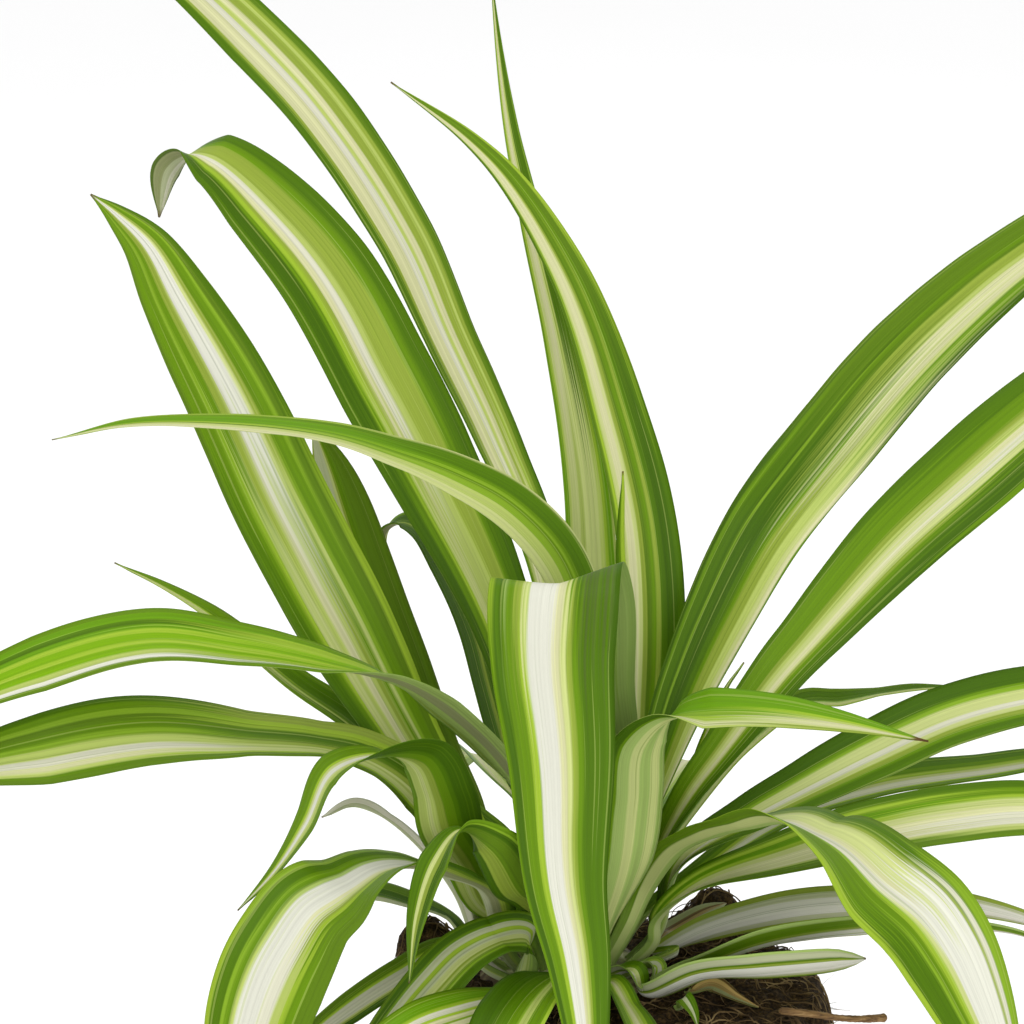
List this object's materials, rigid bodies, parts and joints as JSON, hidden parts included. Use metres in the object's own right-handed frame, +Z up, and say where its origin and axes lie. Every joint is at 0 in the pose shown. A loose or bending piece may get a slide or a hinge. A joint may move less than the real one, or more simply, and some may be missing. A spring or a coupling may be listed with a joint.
{
  "type": "potted plant",
  "caption": "Clump of long striped grass-like leaves arching out of a low crown, in compost that fills a round tapered clay pot.",
  "frame": {"origin": "middle of the pot's flat foot, where it stands", "axes": "+Z up through the pot; -Y towards the front, the side that the picture shows"},
  "size_m": [0.3802, 0.2477, 0.3674],
  "materials": {
    "clay": "unglazed, matt",
    "compost": "rough, fibrous",
    "crown": "matt, fleshy",
    "leaf": "satin, striped along its length",
    "dry_leaf": "dry, papery",
    "twig": "dry"
  },
  "bodies": {
    "root": {"pot": "clay", "root_ball": "compost", "crown": "crown", "twig": "twig", "leaf_centre_young": "leaf", "leaf_centre_tall": "leaf", "leaf_left_tallest": "leaf", "leaf_left_long_thin": "leaf", "leaf_front_creased": "leaf", "leaf_right_tall": "leaf", "leaf_left_upper_arch": "leaf", "leaf_right_sliver": "leaf", "leaf_centre_back": "leaf", "leaf_left_bent_tip": "leaf", "leaf_left_narrow": "leaf", "leaf_left_broad": "leaf", "leaf_left_dropping": "leaf", "leaf_front_small_drop": "leaf", "leaf_right_folded": "leaf", "leaf_right_front_arch": "leaf", "leaf_right_second": "leaf", "leaf_left_back_curl": "leaf", "leaf_left_behind": "leaf", "leaf_front_left_arch": "leaf", "leaf_right_thin": "leaf", "leaf_right_middle": "leaf", "leaf_right_upper": "leaf", "leaf_right_lower": "leaf", "leaf_low_left_shaded": "leaf", "leaf_left_lower_arch": "leaf", "leaf_left_small_arch": "leaf", "leaf_low_left_rear": "leaf", "leaf_low_left_front": "leaf", "leaf_low_front_left": "leaf", "leaf_low_front": "leaf", "leaf_low_right_rear": "leaf", "leaf_low_right_front": "leaf", "leaf_low_right_blunt": "leaf", "leaf_back_middle": "leaf", "leaf_back_right": "leaf", "leaf_back_left": "leaf", "leaf_low_front_right": "leaf", "leaf_tiny_on_soil": "leaf", "dry_leaf_stub": "dry_leaf", "dead_leaf_on_soil": "dry_leaf"}
  },
  "joints": []
}
